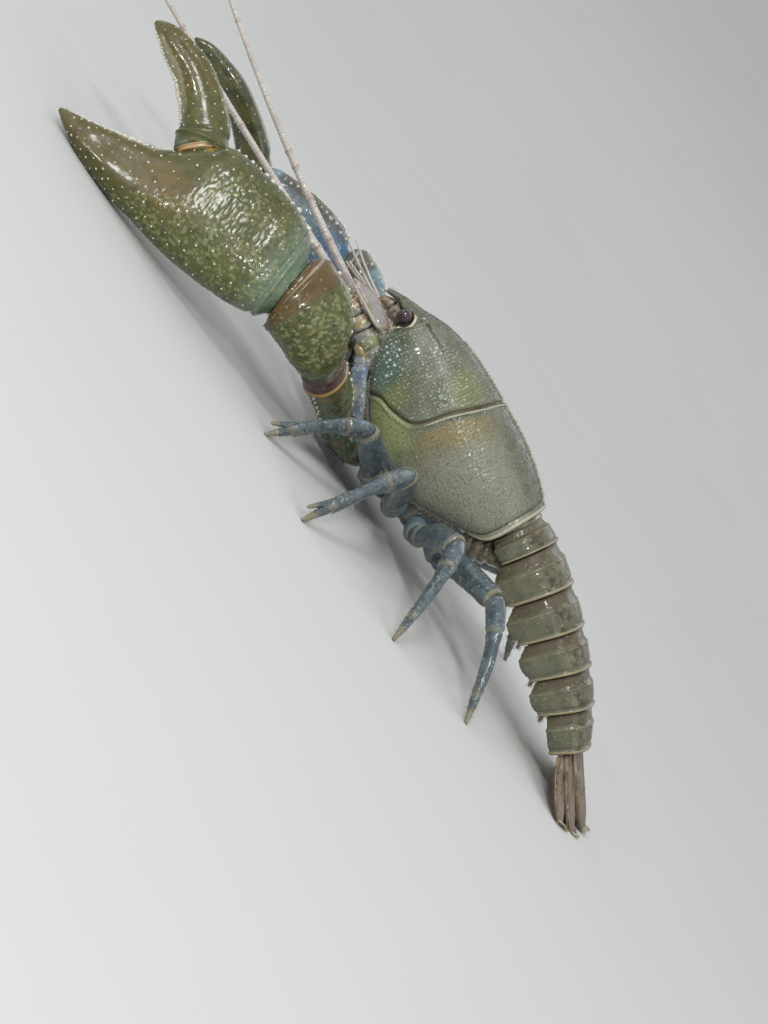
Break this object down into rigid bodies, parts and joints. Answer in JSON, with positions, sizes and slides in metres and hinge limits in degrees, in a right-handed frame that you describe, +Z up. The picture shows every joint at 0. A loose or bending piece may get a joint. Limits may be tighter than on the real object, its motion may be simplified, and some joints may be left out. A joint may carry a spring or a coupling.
{
  "type": "freshwater swamp crayfish, still life-size model",
  "caption": "Freshwater swamp crayfish standing on its walking legs, claws resting forward with their movable fingers open, long feelers ahead and tail fan behind.",
  "frame": {"origin": "on the floor, under the middle of the whole animal's box", "axes": "+Z up; the head looks along -Y, so the tail fan is towards +Y; the animal's left side is towards +X"},
  "size_m": [0.0944, 0.179, 0.037],
  "materials": {
    "carapace": "wet olive grey-green shell with fine pale granules and yellow-green patches",
    "near_claw": "glossy olive green shell mottled with paler granules, amber towards the fingers",
    "far_claw": "glossy steel-blue shell with brown margins",
    "legs": "wet slate blue-grey shell with ochre joints",
    "feelers": "pale pinkish-grey, finely ringed",
    "eyes": "glossy dark purple-brown",
    "abdomen": "wet olive-brown shell, paler at each rear rim",
    "tail_fan": "reddish-brown plates with a fringe of short bristles"
  },
  "bodies": {
    "root": {"head": "carapace", "thorax": "carapace", "underbody": "legs", "left_eye": "eyes", "right_eye": "eyes", "left_antenna_base": "feelers", "right_antenna_base": "feelers", "left_antenna": "feelers", "right_antenna": "feelers", "left_antenna_scale": "feelers", "right_antenna_scale": "feelers", "left_antennule": "feelers", "right_antennule": "feelers", "left_maxilliped": "legs", "right_maxilliped": "legs", "left_claw_arm": "near_claw", "left_claw_wrist": "near_claw", "left_claw_palm": "near_claw", "left_claw_dactyl": "near_claw", "right_claw_arm": "far_claw", "right_claw_wrist": "far_claw", "right_claw_palm": "far_claw", "right_claw_dactyl": "far_claw", "left_leg_2_upper": "legs", "left_leg_2_lower": "legs", "left_leg_3_upper": "legs", "left_leg_3_lower": "legs", "left_leg_4_upper": "legs", "left_leg_4_lower": "legs", "left_leg_5_upper": "legs", "left_leg_5_lower": "legs", "right_leg_2_upper": "legs", "right_leg_2_lower": "legs", "right_leg_3_upper": "legs", "right_leg_3_lower": "legs", "right_leg_4_upper": "legs", "right_leg_4_lower": "legs", "right_leg_5_upper": "legs", "right_leg_5_lower": "legs", "abdomen_1": "abdomen", "abdomen_2": "abdomen", "abdomen_3": "abdomen", "abdomen_4": "abdomen", "abdomen_5": "abdomen", "abdomen_6": "abdomen", "telson": "tail_fan", "left_inner_uropod": "tail_fan", "right_inner_uropod": "tail_fan", "left_outer_uropod": "tail_fan", "right_outer_uropod": "tail_fan"}
  },
  "joints": []
}
